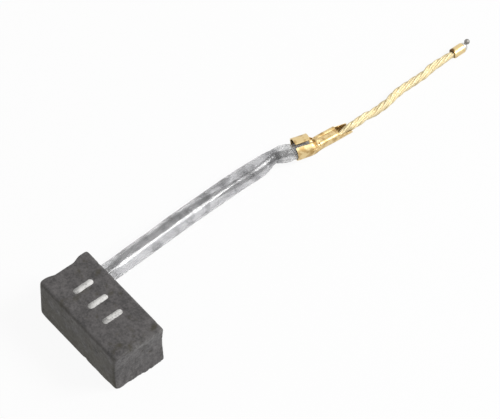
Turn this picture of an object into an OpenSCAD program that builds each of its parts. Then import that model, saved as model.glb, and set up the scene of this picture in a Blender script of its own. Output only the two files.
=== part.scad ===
// Carbon brush for a small commutator motor, with its flexible lead.
// The block lies on one of its guide faces. +X runs from the spring end to the
// contact end, +Y out of the face that the lead leaves, and +Z up. The origin is
// the middle of the block's underside. All lengths are in millimetres.

/* [Carbon block] */
// Length from the spring end to the contact end
block_l = 16; // [13:0.1:24]
// Width between the front face and the face that the lead leaves
block_w = 8; // [7:0.1:12]
// Thickness
block_h = 7; // [6:0.1:10]
// Radius of the commutator that the contact end is ground to
commutator_r = 16; // [12:0.5:40]
// Rounding of the long edges, and of the two edges across the spring end
edge_r = 0.45; // [0.2:0.05:0.6]
// Rounding of the upright edges at the spring end
heel_r = 0.6; // [0.3:0.05:1]
// Rounding of the upright edges at the contact end
toe_r = 0.25; // [0.1:0.05:0.6]

/* [Spring seat] */
// Width of the spring groove at its mouth
seat_mouth = 5.4; // [4:0.1:6]
// Width of the spring groove's flat floor
seat_floor = 2.9; // [1.5:0.1:3.2]
// Depth of the spring groove
seat_depth = 0.53; // [0.3:0.01:0.8]
// Rounding where the groove's slopes meet its floor and the end face
seat_r = 0.8; // [0.2:0.1:1]

/* [Lead socket] */
// Distance of the socket's axis from the spring end
socket_inset = 2.7; // [2.4:0.1:5]
// Diameter of the drilled socket
socket_d = 2; // [1.7:0.1:2.2]
// Depth of the socket's straight wall
socket_depth = 4; // [2.5:0.1:5]
// Angle of the drill's point
drill_angle = 118; // [90:1:140]
// Chamfer round the socket's mouth
socket_chamfer = 0.2; // [0.1:0.05:0.3]
// How far the packed copper powder stops short of the mouth
tamping_recess = 0.25; // [0.1:0.05:0.6]

/* [Lead] */
// Diameter of the stranded wire in the sleeve
wire_d = 1; // [0.85:0.05:1.15]
// Diameter of the bare wire, which is laid more loosely
tail_d = 1.2; // [1.1:0.05:1.3]
// Outer diameter of the insulating sleeve
sleeve_d = 2.7; // [2.6:0.1:3.4]
// Wall of the insulating sleeve
sleeve_wall = 0.4; // [0.3:0.05:0.45]

/* [Crimp splice] */
// Thickness of the brass strip
strip_t = 0.25; // [0.2:0.01:0.3]
// Length of the grip that wraps the sleeve
grip_l = 2.2; // [2:0.1:3]
// How far the grip's upper wing arches clear of the sleeve
wing_lift = 0.45; // [0.1:0.05:0.6]
// Length of the open neck
neck_l = 1; // [0.8:0.1:2]
// Length of the rolled barrel that holds both wires
barrel_l = 3.1; // [2.6:0.1:4.2]
// Length of the open mouth in front of the barrel
mouth_l = 2.1; // [1:0.1:2.6]
// Share of a wire's diameter that is left when it is crimped
packing = 0.66; // [0.6:0.01:0.75]

/* [Wire end] */
// Diameter of the small ferrule near the end of the bare wire
ferrule_d = 1.55; // [1.5:0.05:1.9]
// Length of the ferrule
ferrule_l = 1.8; // [1.2:0.1:2.6]
// Diameter of the solder ball at the very end
ball_d = 0.75; // [0.5:0.05:0.75]

/* [Fits] */
// Clearance between pieces that sit in each other
fit = 0.02; // [0.01:0.005:0.03]
// Clearance between the lead and the surface that it lies on
lie_gap = 0.02; // [0.01:0.005:0.05]
// Width of the seam between the two rolled edges of the barrel
seam_w = 0.06; // [0.04:0.01:0.1]

/* [Hidden] */

$fn = 64;
over = 1; // how far a cutting shape runs past what it cuts
sides = 8; // flats round a wire or the sleeve
flat = cos(180 / sides); // a flat's distance from the axis, against a corner's

wire_r = wire_d / 2;
tail_r = tail_d / 2;
sleeve_r = sleeve_d / 2;
tight_r = (wire_r + fit) / flat + sleeve_wall; // the sleeve drawn tight on the wire
socket_r = socket_d / 2;
socket_z = block_h / 2;
mouth = [-block_l / 2 + socket_inset, block_w / 2, socket_z]; // middle of the socket's mouth
exit_dir = [0, 1, 0];
wire_depth = socket_depth - wire_r; // from the mouth to the wire's end in the packed powder
land = (block_w - seat_mouth) / 2; // flat part of the end face beside the groove
heel_round = min(heel_r, 0.7 * land); // the heel's rounding, kept clear of the groove

// The sleeve's route: sideways from the socket, out from the block, how much of
// the way down to the surface it has come, how far the wire inside leans
// sideways and up (1 touches the sleeve's wall), and how tight the sleeve is
// drawn on the wire (0 is round, 1 is tight).
sleeve_route = [
    [0, 0, 0, 0, 0, 0],
    [-0.1, 2.45, 0.04, -0.5, 0.3, 0],
    [-0.35, 4.85, 0.16, -0.8, 0.45, 0],
    [-0.65, 7.3, 0.31, -0.85, 0.4, 0],
    [-0.95, 9.75, 0.48, -0.85, 0.35, 0],
    [-1.3, 12.15, 0.65, -0.9, 0.3, 0],
    [-1.6, 14.6, 0.8, -0.9, 0.3, 0],
    [-1.8, 17, 0.9, -0.8, 0.2, 0],
    [-1.95, 19.45, 0.97, -0.4, 0.1, 0],
    [-2.05, 21.9, 1, 0, -0.2, 0],
    [-2.1, 24.3, 1, 0.3, -0.5, 0],
    [-2.05, 26.75, 1, 0.4, -0.6, 0],
    [-2.05, 28.2, 1, 0.3, -0.5, 0.1],
    [-2.1, 29.4, 1, 0, 0, 0.4],
    [-2.15, 30.35, 1, 0, 0, 0.9],
    [-1.9, 31.3, 1, 0, 0, 0.4],
    [-1.5, 32.2, 1, 0, 0, 0.3]
];

// The crimp lies in two straight halves, bent at its neck.
grip_at = [-1.15, 33.1]; // rear of the sleeve's grip, from the socket's mouth
grip_yaw = 16;
barrel_yaw = 5;
grip_squeeze = 0.65;
grip_entry = 0.3; // how far the sleeve is already drawn in behind the grip
grip_gap = 0.1; // between the grip and the start of the neck
sleeve_end = 0.2; // how far the sleeve stops short of the grip's front

// The bare wire's route from the crimp's mouth: sideways and out from the
// socket, and how far the wire stands clear of the surface.
tail_route = [
    [-0.05, 43.1, 0.1], [-0.05, 44.2, 0.05], [0.1, 45.2, 0], [0.05, 46.7, 0],
    [-0.05, 47.9, 0], [-0.35, 49.2, 0], [-0.5, 50.6, 0], [-0.5, 52, 0],
    [-0.55, 53.4, 0], [-0.6, 54.9, 0], [-0.75, 56.2, 0.05], [-0.7, 57.7, 0.1]
];
ferrule_at = [-0.7, 59.7]; // rear of the ferrule, from the socket's mouth
ball_reach = 0.95; // from the ferrule's front to the middle of the ball
ball_lift = 20; // angle by which the end of the wire stands up
ball_turn = 12; // angle by which it turns sideways

lie_z = sleeve_r + lie_gap; // height of the sleeve's axis where it lies
tail_z = tail_r + lie_gap; // height of the bare wire's axis where it lies
ferrule_z = ferrule_d / 2 + lie_gap; // height of the ferrule's axis

grip_ri = squeezed(grip_squeeze) + fit;
grip_ro = grip_ri + strip_t;
packed_r = wire_r * packing;
barrel_ri = 2 * packed_r + fit;
barrel_ro = barrel_ri + strip_t;
barrel_start = neck_l;
barrel_end = barrel_start + barrel_l;
front_end = barrel_end + mouth_l;
wire_side = barrel_ri - packed_r - fit / 2; // from the barrel's axis to each wire's
front_ri = tail_r + fit;
front_ro = front_ri + strip_t;
roll_up = 0.5; // from the barrel's axis up to the middle of its rolled edges
tip_up = sqrt(pow(packed_r + strip_t + fit, 2) - pow(wire_side, 2)) + fit;
neck_up = 0.6; // from the grip's axis up to the top of the neck's walls

grip_origin = mouth_xy(grip_at);
neck_origin = grip_origin + (grip_l + grip_gap) * heading(grip_yaw);

function unit(v) = v / norm(v);
function heading(yaw) = [sin(yaw), cos(yaw)];
function mouth_xy(p) = [mouth.x + p[0], mouth.y + p[1]];
function squeezed(share) = sleeve_r + share * (tight_r - sleeve_r);
function play(share) = (squeezed(share) - sleeve_wall) * flat - wire_r - fit;

// A point in the rear or the front half of the crimp: along it, sideways and up
function in_frame(origin, yaw, along, side, up) =
    let (d = heading(yaw))
    [origin.x + along * d.x + side * d.y, origin.y + along * d.y - side * d.x, up + lie_gap];
function in_grip(along, side, up) = in_frame(grip_origin, grip_yaw, along, side, up);
function in_barrel(along, side, up) = in_frame(neck_origin, barrel_yaw, along, side, up);

// A straight or curved tube through points, each [x, y, z, outer radius, bore radius]
function spot(p) = [p[0], p[1], p[2]];
function direction(path, i) =
    i == 0 ? exit_dir :
    unit(spot(path[min(i + 1, len(path) - 1)]) - spot(path[i - 1]));
function ring(p, along, r) =
    let (side = unit(cross(along, [0, 0, 1])), up = cross(side, along))
    [for (k = [0 : sides - 1]) let (a = 360 * k / sides) spot(p) + r * (cos(a) * side + sin(a) * up)];
function next(k) = (k + 1) % sides;

module solid_tube(path) {
    n = len(path);
    points = [for (i = [0 : n - 1]) each ring(path[i], direction(path, i), path[i][3])];
    walls = [for (i = [0 : n - 2]) for (k = [0 : sides - 1])
        [i * sides + k, i * sides + next(k), (i + 1) * sides + next(k), (i + 1) * sides + k]];
    start = [for (k = [sides - 1 : -1 : 0]) k];
    end = [for (k = [0 : sides - 1]) (n - 1) * sides + k];
    polyhedron(points, concat(walls, [start, end]), convexity = 6);
}

module hollow_tube(path) {
    n = len(path);
    outer = [for (i = [0 : n - 1]) each ring(path[i], direction(path, i), path[i][3])];
    inner = [for (i = [0 : n - 1]) each ring(path[i], direction(path, i), path[i][4])];
    m = n * sides;
    walls = [for (i = [0 : n - 2]) for (k = [0 : sides - 1]) each [
        [i * sides + k, i * sides + next(k), (i + 1) * sides + next(k), (i + 1) * sides + k],
        [m + i * sides + k, m + (i + 1) * sides + k,
            m + (i + 1) * sides + next(k), m + i * sides + next(k)]
    ]];
    ends = [for (k = [0 : sides - 1]) let (z = (n - 1) * sides) each [
        [k, m + k, m + next(k), next(k)],
        [z + k, z + next(k), m + z + next(k), m + z + k]
    ]];
    polyhedron(concat(outer, inner), concat(walls, ends), convexity = 8);
}

sleeve_path = concat(
    [for (p = sleeve_route) [
        mouth.x + p[0], mouth.y + p[1], mouth.z + p[2] * (lie_z - mouth.z),
        squeezed(p[5]), squeezed(p[5]) - sleeve_wall
    ]],
    [for (along = [-grip_entry, grip_l - sleeve_end]) concat(
        in_grip(along, 0, grip_ro),
        [squeezed(grip_squeeze), squeezed(grip_squeeze) - sleeve_wall]
    )]
);

shunt_path = concat(
    [for (back = [wire_depth, wire_depth / 2])
        [mouth.x, mouth.y - back, mouth.z, wire_r]],
    [for (i = [0 : len(sleeve_route) - 1]) let (p = sleeve_route[i], q = sleeve_path[i]) [
        q[0] + p[3] * play(p[5]), q[1], q[2] + p[4] * play(p[5]), wire_r
    ]],
    [for (along = [-grip_entry, grip_l - sleeve_end]) concat(in_grip(along, 0, grip_ro), wire_r)],
    [concat(in_barrel(neck_l / 2, -wire_side / 3, (grip_ro + barrel_ro) / 2), (wire_r + packed_r) / 2)],
    [for (along = [barrel_start, barrel_end])
        concat(in_barrel(along, -wire_side, barrel_ro), packed_r)]
);

ferrule_rear = concat(mouth_xy(ferrule_at), ferrule_z);
half_r = (tail_r + packed_r) / 2; // where the bare wire is half packed, in the crimp's mouth
tail_path = concat(
    [for (along = [barrel_start + fit, barrel_end])
        concat(in_barrel(along, wire_side, barrel_ro), packed_r)],
    [concat(in_barrel(barrel_end + mouth_l / 2, wire_side / 3, strip_t + 3 * fit + half_r), half_r)],
    [concat(in_barrel(front_end, 0, front_ro), tail_r)],
    [for (p = tail_route) concat(mouth_xy(p), [tail_z + p[2], tail_r])],
    [for (along = [0, ferrule_l]) concat(ferrule_rear + [0, along, 0], tail_r)]
);

// Rounds each corner [x, y, radius] of an outline with an arc
function rounded(corners, steps = 5) = [
    for (i = [0 : len(corners) - 1])
        let (
            n = len(corners),
            b = corners[i],
            a = corners[(i + n - 1) % n],
            c = corners[(i + 1) % n],
            p = unit([a[0] - b[0], a[1] - b[1]]),
            q = unit([c[0] - b[0], c[1] - b[1]]),
            half = acos(p * q) / 2,
            mid = [b[0], b[1]] + unit(p + q) * b[2] / sin(half),
            from = [b[0], b[1]] + p * b[2] / tan(half) - mid,
            to = [b[0], b[1]] + q * b[2] / tan(half) - mid,
            start = atan2(from.y, from.x),
            turn = (atan2(to.y, to.x) - start + 540) % 360 - 180
        )
        each (b[2] == 0 ? [[b[0], b[1]]] : [
            for (k = [0 : steps]) let (w = start + turn * k / steps)
                mid + b[2] * [cos(w), sin(w)]
        ])
];

// The block from above, with the spring groove across its heel
module block_plan() {
    heel = -block_l / 2;
    toe = block_l / 2;
    side = block_w / 2;
    floor_x = heel + seat_depth;
    polygon(rounded([
        [toe, -side, toe_r], [toe, side, toe_r], [heel, side, heel_round],
        [heel, seat_mouth / 2, seat_r], [floor_x, seat_floor / 2, seat_r],
        [floor_x, -seat_floor / 2, seat_r], [heel, -seat_mouth / 2, seat_r],
        [heel, -side, heel_round]
    ]));
}

module lead_socket() {
    point_l = socket_r / tan(drill_angle / 2);
    chamfer_r = socket_r + socket_chamfer;
    translate(mouth) rotate([90, 0, 0]) {
        translate([0, 0, -over]) cylinder(h = over + socket_depth, r = socket_r);
        translate([0, 0, socket_depth]) cylinder(h = point_l, r1 = socket_r, r2 = 0);
        translate([0, 0, -over]) cylinder(h = over, r = chamfer_r);
        cylinder(h = socket_chamfer, r1 = chamfer_r, r2 = socket_r);
    }
}

// The block from its front, sharp where the contact end meets the large faces
module block_side() {
    polygon(rounded([
        [-block_l / 2, 0, edge_r], [block_l / 2, 0, 0],
        [block_l / 2, block_h, 0], [-block_l / 2, block_h, edge_r]
    ]));
}

// The block from its contact end
module block_end() {
    polygon(rounded([
        for (p = [[-1, 0], [1, 0], [1, 1], [-1, 1]]) [p[0] * block_w / 2, p[1] * block_h, edge_r]
    ]));
}

module carbon_block() {
    sagitta = commutator_r - sqrt(pow(commutator_r, 2) - pow(block_h / 2, 2));
    color("#565554") difference() {
        intersection() {
            linear_extrude(block_h) block_plan();
            translate([0, block_w / 2 + over, 0]) rotate([90, 0, 0])
                linear_extrude(block_w + 2 * over) block_side();
            translate([-block_l / 2 - over, 0, 0]) rotate([90, 0, 90])
                linear_extrude(block_l + 2 * over) block_end();
        }
        translate([block_l / 2 + commutator_r - sagitta, block_w / 2 + over, block_h / 2])
            rotate([90, 0, 0]) cylinder(h = block_w + 2 * over, r = commutator_r, $fn = 256);
        lead_socket();
    }
}

// Copper powder packed round the wire in its socket
module copper_tamping() {
    color("#b3714a") translate(mouth) rotate([90, 0, 0]) difference() {
        translate([0, 0, tamping_recess])
            cylinder(h = socket_depth - tamping_recess, r = socket_r - fit);
        cylinder(h = wire_depth + fit, r = wire_r + fit);
    }
}

module shunt_wire() {
    color("#7d7b78") solid_tube(shunt_path);
}

module insulating_sleeve() {
    color("#c3c3c6", 0.6) hollow_tube(sleeve_path);
}

// Runs a section, drawn sideways and up, along the crimp
module run(from, to) {
    translate([0, to, 0]) rotate([90, 0, 0]) linear_extrude(to - from) children();
}
module grip_frame() {
    translate([grip_origin.x, grip_origin.y, lie_gap]) rotate([0, 0, -grip_yaw]) children();
}
module barrel_frame() {
    translate([neck_origin.x, neck_origin.y, lie_gap]) rotate([0, 0, -barrel_yaw]) children();
}

// The strip wrapped once round the sleeve. One wing stops near the top, and the
// other arches over it, clear of the sleeve.
module grip_section() {
    low_end = 72; // where the lower wing ends
    lift_from = -165; // where the upper wing starts to leave the sleeve
    lift_to = -205;
    high_end = -280; // where the upper wing ends
    steps = 56;
    angles = [for (k = [0 : steps]) low_end + (high_end - low_end) * k / steps];
    function rise(a) = max(0, min(1, (lift_from - a) / (lift_from - lift_to)));
    function inner(a) = grip_ri + rise(a) * wing_lift;
    function at(r, a) = [r * cos(a), r * sin(a) + grip_ro];
    polygon(concat(
        [for (a = angles) at(inner(a) + strip_t, a)],
        [for (k = [steps : -1 : 0]) at(inner(angles[k]), angles[k])]
    ));
}

// The strip rolled into two lobes, with its edges driven down between the wires
module barrel_section() {
    lobe_r = barrel_ro / 2;
    difference() {
        union() {
            translate([0, barrel_ro]) circle(barrel_ro);
            translate([-barrel_ro, barrel_ro]) square([2 * barrel_ro, roll_up]);
            for (s = [-1, 1]) translate([s * lobe_r, barrel_ro + roll_up]) circle(lobe_r);
        }
        difference() {
            union() {
                translate([0, barrel_ro]) circle(barrel_ri);
                translate([-barrel_ri, barrel_ro]) square([2 * barrel_ri, roll_up]);
                for (s = [-1, 1])
                    translate([s * lobe_r, barrel_ro + roll_up]) circle(lobe_r - strip_t);
            }
            translate([0, barrel_ro + tip_up]) circle(strip_t);
            translate([-strip_t, barrel_ro + tip_up]) square([2 * strip_t, roll_up]);
        }
        translate([-seam_w / 2, barrel_ro]) square([seam_w, barrel_ro + roll_up]);
    }
}

// A round-bottomed trough, filled up to a height
module trough(r, centre, height) {
    intersection() {
        union() {
            translate([0, centre]) circle(r, $fn = 32);
            translate([-r, centre]) square([2 * r, height]);
        }
        translate([-2 * r, 0]) square([4 * r, height]);
    }
}

module crimp_splice() {
    slice = 0.05;
    high = 2 * grip_ro;
    grip_wall = grip_ro + neck_up;
    barrel_wall = barrel_ro + roll_up;
    color("#cda552") {
        grip_frame() run(0, grip_l) grip_section();
        difference() {
            hull() {
                grip_frame() run(grip_l - slice, grip_l) trough(grip_ro, grip_ro, grip_wall);
                barrel_frame() run(barrel_start, barrel_start + slice)
                    trough(barrel_ro, barrel_ro, barrel_wall);
            }
            hull() {
                grip_frame() run(grip_l - 2 * slice, grip_l) trough(grip_ri, grip_ro, high);
                barrel_frame() run(barrel_start, barrel_start + 2 * slice)
                    trough(barrel_ri, barrel_ro, high);
            }
        }
        barrel_frame() {
            run(barrel_start, barrel_end) barrel_section();
            difference() {
                hull() {
                    run(barrel_end - slice, barrel_end) trough(barrel_ro, barrel_ro, barrel_wall);
                    run(front_end - slice, front_end) trough(front_ro, front_ro, front_ro);
                }
                hull() {
                    run(barrel_end - 2 * slice, barrel_end) trough(barrel_ri, barrel_ro, high);
                    run(front_end, front_end + slice) trough(front_ri, front_ro, high);
                }
            }
        }
    }
}

module tail_wire() {
    color("#dcc68f") solid_tube(tail_path);
}

// A short brass ferrule with chamfered ends
module end_ferrule() {
    ro = ferrule_d / 2;
    bore = tail_r + fit;
    ease = (ro - bore) / 2;
    color("#b99245") translate(ferrule_rear) rotate([-90, 0, 0]) rotate_extrude()
        polygon([
            [bore, 0], [ro - ease, 0], [ro, ease],
            [ro, ferrule_l - ease], [ro - ease, ferrule_l], [bore, ferrule_l]
        ]);
}

// Solder on the end of the wire: a dome on the ferrule, a thin neck and a ball
module solder_tip() {
    dome_r = tail_r + fit;
    color("#b9b7b2") translate(ferrule_rear + [0, ferrule_l, 0]) {
        difference() {
            sphere(dome_r);
            translate([-dome_r, -2 * dome_r, -dome_r]) cube(2 * dome_r);
        }
        rotate([-90 + ball_lift, 0, ball_turn]) {
            translate([0, 0, dome_r / 2]) cylinder(h = ball_reach - dome_r / 2, d = ball_d / 2);
            translate([0, 0, ball_reach]) sphere(d = ball_d);
        }
    }
}

carbon_block();
copper_tamping();
shunt_wire();
insulating_sleeve();
crimp_splice();
tail_wire();
end_ferrule();
solder_tip();
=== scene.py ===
"""The looks of a small carbon brush: a pressed carbon block, with its flexible lead beside it."""

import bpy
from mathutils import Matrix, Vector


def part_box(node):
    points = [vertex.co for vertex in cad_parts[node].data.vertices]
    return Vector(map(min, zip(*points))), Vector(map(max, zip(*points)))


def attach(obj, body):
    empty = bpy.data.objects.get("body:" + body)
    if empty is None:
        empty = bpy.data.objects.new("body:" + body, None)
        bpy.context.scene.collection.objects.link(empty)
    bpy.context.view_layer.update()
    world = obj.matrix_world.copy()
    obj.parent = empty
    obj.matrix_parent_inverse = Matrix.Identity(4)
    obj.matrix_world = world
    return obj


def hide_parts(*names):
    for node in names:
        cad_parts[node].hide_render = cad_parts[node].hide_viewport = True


bl_info = {
    "name": "Carbon Brush",
    "version": (1, 0, 0),
    "blender": (4, 5, 0),
    "location": "3D View > Sidebar > Carbon Brush",
    "description": "Builds a carbon brush with its sleeved lead, crimp splice and bare wire end",
    "category": "Object",
}

import math
import random

import bmesh
import bpy
import numpy as np
from bpy.props import FloatProperty, FloatVectorProperty, IntProperty, PointerProperty
from mathutils import Vector, noise
from mathutils.bvhtree import BVHTree

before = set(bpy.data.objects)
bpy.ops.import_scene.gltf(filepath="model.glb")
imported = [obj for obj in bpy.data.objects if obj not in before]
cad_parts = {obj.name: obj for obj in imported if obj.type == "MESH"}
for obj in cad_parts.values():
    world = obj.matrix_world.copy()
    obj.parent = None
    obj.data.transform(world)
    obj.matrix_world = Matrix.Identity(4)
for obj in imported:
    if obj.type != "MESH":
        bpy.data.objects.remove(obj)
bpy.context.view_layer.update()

BODY = "root"
MM = 0.001
UP = np.array([0.0, 0.0, 1.0])

BLOCK_LOW, BLOCK_HIGH = (np.array(corner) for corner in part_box("carbon_block"))
BLOCK_SIZE = BLOCK_HIGH - BLOCK_LOW

# From the spring end to the lead socket's axis, and the middle of the socket's mouth, where
# the sleeve leaves the block
SOCKET_INSET = 2.7 * MM
MOUTH = np.array([BLOCK_LOW[0] + SOCKET_INSET, BLOCK_HIGH[1], BLOCK_HIGH[2] / 2])

# The sleeve's route, in millimetres from the mouth: sideways, out, and how much
# of the way down to the floor. Then how far the wire inside leans sideways and
# up, in shares of its play in the sleeve's full wall, and how tight the sleeve is
# drawn on the wire. The wall is drawn thinner, so a lean may be more than 1.
SLEEVE_ROUTE = [
    (0, 0, 0, 0, 0, 0), (-0.1, 2.45, 0.04, -0.8, 0.4, 0), (-0.35, 4.85, 0.16, -1.2, 0.6, 0),
    (-0.65, 7.3, 0.31, -1.25, 0.6, 0), (-0.95, 9.75, 0.48, -1.25, 0.6, 0),
    (-1.3, 12.15, 0.65, -1.25, 0.6, 0), (-1.6, 14.6, 0.8, -1.25, 0.6, 0),
    (-1.8, 17, 0.9, -1.1, 0.4, 0), (-1.95, 19.45, 0.97, -0.6, 0.1, 0),
    (-2.05, 21.9, 1, 0, -0.2, 0), (-2.1, 24.3, 1, 0.3, -0.5, 0), (-2.05, 26.75, 1, 0.4, -0.6, 0),
    (-2.05, 28.2, 1, 0.3, -0.5, 0.1), (-2.1, 29.4, 1, 0, 0, 0.4), (-2.15, 30.35, 1, 0, 0, 0.9),
    (-1.9, 31.3, 1, 0, 0, 0.4), (-1.5, 32.2, 1, 0, 0, 0.3),
]

# The bare wire's route from the crimp, in millimetres from the mouth: sideways,
# out, and how far the wire stands clear of the floor.
TAIL_ROUTE = [
    (-0.05, 43.1, 0.1), (-0.05, 44.2, 0.05), (0.1, 45.2, 0), (0.05, 46.7, 0), (-0.05, 47.9, 0),
    (-0.35, 49.2, 0), (-0.5, 50.6, 0), (-0.5, 52, 0), (-0.55, 53.4, 0), (-0.6, 54.9, 0),
    (-0.75, 56.2, 0.05), (-0.7, 57.7, 0.1),
]


# ---------------------------------------------------------------- settings


class BlockSettings(bpy.types.PropertyGroup):
    step: FloatProperty(
        name="Mesh Step", description="Spacing of the points on the block's surface",
        default=0.085 * MM, unit="LENGTH", precision=6,
    )
    grain: FloatProperty(
        name="Grain", description="Depth of the pressed grain",
        default=0.010 * MM, unit="LENGTH", precision=6,
    )
    unevenness: FloatProperty(
        name="Unevenness", description="Depth of the broad hollows in the ground faces",
        default=0.025 * MM, unit="LENGTH", precision=6,
    )
    pits: IntProperty(name="Pits", description="Number of small pits", default=60, min=0)
    chips: IntProperty(
        name="Chips", description="Number of chips along the edges", default=44, min=0,
    )
    groove_depth: FloatProperty(
        name="Running Marks", description="Depth of the marks that the commutator leaves",
        default=0.012 * MM, unit="LENGTH", precision=6,
    )
    dark: FloatVectorProperty(
        name="Dark Carbon", description="Colour of the darker grain", subtype="COLOR",
        default=(0.028, 0.026, 0.026),
    )
    light: FloatVectorProperty(
        name="Light Carbon", description="Colour of the lighter grain", subtype="COLOR",
        default=(0.120, 0.112, 0.111),
    )
    # Also the colour of the painted highlight band along the contact end's upper edge.
    rub_and_highlight: FloatVectorProperty(
        name="Rubbed Carbon", description="Colour of worn edges", subtype="COLOR",
        default=(0.150, 0.145, 0.138),
    )
    # Also the colour of the painted shade in the pits and on the front face.
    dust_and_shade: FloatVectorProperty(
        name="Dust", description="Colour of the brownish dust on the sides", subtype="COLOR",
        default=(0.036, 0.031, 0.020),
    )


class MarkSettings(bpy.types.PropertyGroup):
    length: FloatProperty(
        name="Length", description="Length of each painted bar", default=3.0 * MM, unit="LENGTH",
    )
    width: FloatProperty(
        name="Width", description="Width of each painted bar", default=0.85 * MM, unit="LENGTH",
    )
    pitch: FloatProperty(
        name="Pitch", description="Distance between neighbouring bars", default=3.0 * MM,
        unit="LENGTH",
    )
    count: IntProperty(name="Count", description="Number of painted bars", default=3, min=1)
    middle: FloatProperty(
        name="Middle", description="Place of the middle bar along the block",
        default=-0.65 * MM, unit="LENGTH",
    )
    paint: FloatVectorProperty(
        name="Paint", description="Colour of the paint", subtype="COLOR",
        default=(0.74, 0.73, 0.71),
    )


class LeadSettings(bpy.types.PropertyGroup):
    wire_d: FloatProperty(
        name="Wire Diameter", description="Diameter of the wire in the sleeve", default=1.0 * MM,
        unit="LENGTH",
    )
    tail_d: FloatProperty(
        name="Bare Wire Diameter", description="Diameter of the bare wire", default=1.2 * MM,
        unit="LENGTH",
    )
    wire_depth: FloatProperty(
        name="Wire Depth", description="How far the wire reaches into the block",
        default=3.5 * MM, unit="LENGTH",
    )
    shunt_length: FloatProperty(
        name="Shunt Length", description="Length of the sleeved wire, from its end in the block "
        "to the end of the barrel", default=44.2 * MM, unit="LENGTH",
    )
    sleeve_d: FloatProperty(
        name="Sleeve Diameter", description="Outer diameter of the sleeve", default=2.7 * MM,
        unit="LENGTH",
    )
    sleeve_wall: FloatProperty(
        name="Sleeve Wall", description="Wall of the sleeve", default=0.4 * MM, unit="LENGTH",
    )
    bundles: IntProperty(
        name="Bundles", description="Bundles of strands that show round a wire", default=8, min=3,
    )
    shunt_lay: FloatProperty(
        name="Shunt Lay", description="Length of one turn of the sleeved wire's twist",
        default=9 * MM, unit="LENGTH",
    )
    tail_lay: FloatProperty(
        name="Tail Lay", description="Length of one turn of the bare wire's twist",
        default=8 * MM, unit="LENGTH",
    )
    # The dark strand colours are painted shade: at the sides of each fine strand and in the
    # grooves between bundles.
    shunt_dark: FloatVectorProperty(
        name="Shunt, Dark", description="Colour of the dulled strands in their grooves",
        subtype="COLOR", default=(0.020, 0.020, 0.019),
    )
    shunt_light: FloatVectorProperty(
        name="Shunt, Light", description="Colour of the dulled strands", subtype="COLOR",
        default=(0.10, 0.098, 0.094),
    )
    # Painted shade, as for the shunt.
    tail_dark: FloatVectorProperty(
        name="Tail, Dark", description="Colour of the bare strands in their grooves",
        subtype="COLOR", default=(0.62, 0.48, 0.24),
    )
    tail_light: FloatVectorProperty(
        name="Tail, Light", description="Colour of the bare strands", subtype="COLOR",
        default=(0.70, 0.62, 0.42),
    )
    sleeve_clear: FloatVectorProperty(
        name="Sleeve", description="Colour of the clear sleeve", subtype="COLOR",
        default=(0.94, 0.94, 0.95),
    )
    # Also the colour of the painted shade at the sleeve's kink.
    sleeve_cloud_and_shade: FloatVectorProperty(
        name="Sleeve, Cloudy", description="Colour of the sleeve's cloudy patches",
        subtype="COLOR", default=(0.50, 0.50, 0.51),
    )
    sleeve_pale: FloatVectorProperty(
        name="Sleeve, Stretched",
        description="Colour of the sleeve where it is stretched, at the block and at the crimp",
        subtype="COLOR", default=(0.97, 0.97, 0.97),
    )
    sleeve_body: FloatVectorProperty(
        name="Sleeve, Body", description="Colour that the sleeve's wall lets through",
        subtype="COLOR", default=(0.40, 0.40, 0.42),
    )
    sleeve_density: FloatProperty(
        name="Sleeve Density",
        description="How strongly the sleeve's wall darkens what is behind it",
        default=420.0, min=0,
    )


class CrimpSettings(bpy.types.PropertyGroup):
    step: FloatProperty(
        name="Mesh Step", description="Spacing of the points on the crimp's surface",
        default=0.04 * MM, unit="LENGTH", precision=6,
    )
    dents: FloatProperty(
        name="Dents", description="Depth of the dents that the tool left",
        default=0.03 * MM, unit="LENGTH", precision=6,
    )
    brass: FloatVectorProperty(
        name="Brass", description="Colour of the bright brass", subtype="COLOR",
        default=(0.76, 0.59, 0.31),
    )
    tarnish: FloatVectorProperty(
        name="Tarnish", description="Colour of the tarnished brass", subtype="COLOR",
        default=(0.38, 0.23, 0.075),
    )
    # Painted shade: the colour laid into the folds, where the strip faces another part of itself.
    folds: FloatVectorProperty(
        name="Folds", description="Colour of the dirt in the folds", subtype="COLOR",
        default=(0.16, 0.09, 0.035),
    )


class StageSettings(bpy.types.PropertyGroup):
    azimuth: FloatProperty(
        name="Azimuth", description="Camera's angle round the part", subtype="ANGLE",
        default=math.radians(51.0),
    )
    elevation: FloatProperty(
        name="Elevation", description="Camera's angle above the floor", subtype="ANGLE",
        default=math.radians(54.2),
    )
    lens: FloatProperty(
        name="Lens", description="Camera's focal length, in millimetres", default=450, min=20,
    )
    across: FloatProperty(
        name="Width of View", description="Width that the camera sees at its target",
        default=64.88 * MM, unit="LENGTH",
    )
    aim: FloatVectorProperty(
        name="Aim Point", description="Point that the camera looks at", subtype="XYZ",
        default=(-2.76 * MM, 26.64 * MM, 1.5 * MM), precision=5,
    )
    key_power: FloatProperty(
        name="Key Light", description="Power of the large soft lamp", default=1.8, min=0,
        unit="POWER",
    )
    fill_power: FloatProperty(
        name="Fill Light", description="Power of the small lamp on the other side", default=0.05,
        min=0, unit="POWER",
    )
    ambient: FloatProperty(
        name="Surround", description="Strength of the pale surround", default=0.34, min=0,
    )


GROUPS = {
    "brush_block": BlockSettings,
    "brush_marks": MarkSettings,
    "brush_lead": LeadSettings,
    "brush_crimp": CrimpSettings,
    "brush_stage": StageSettings,
}


# ---------------------------------------------------------------- shared shapes


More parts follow.
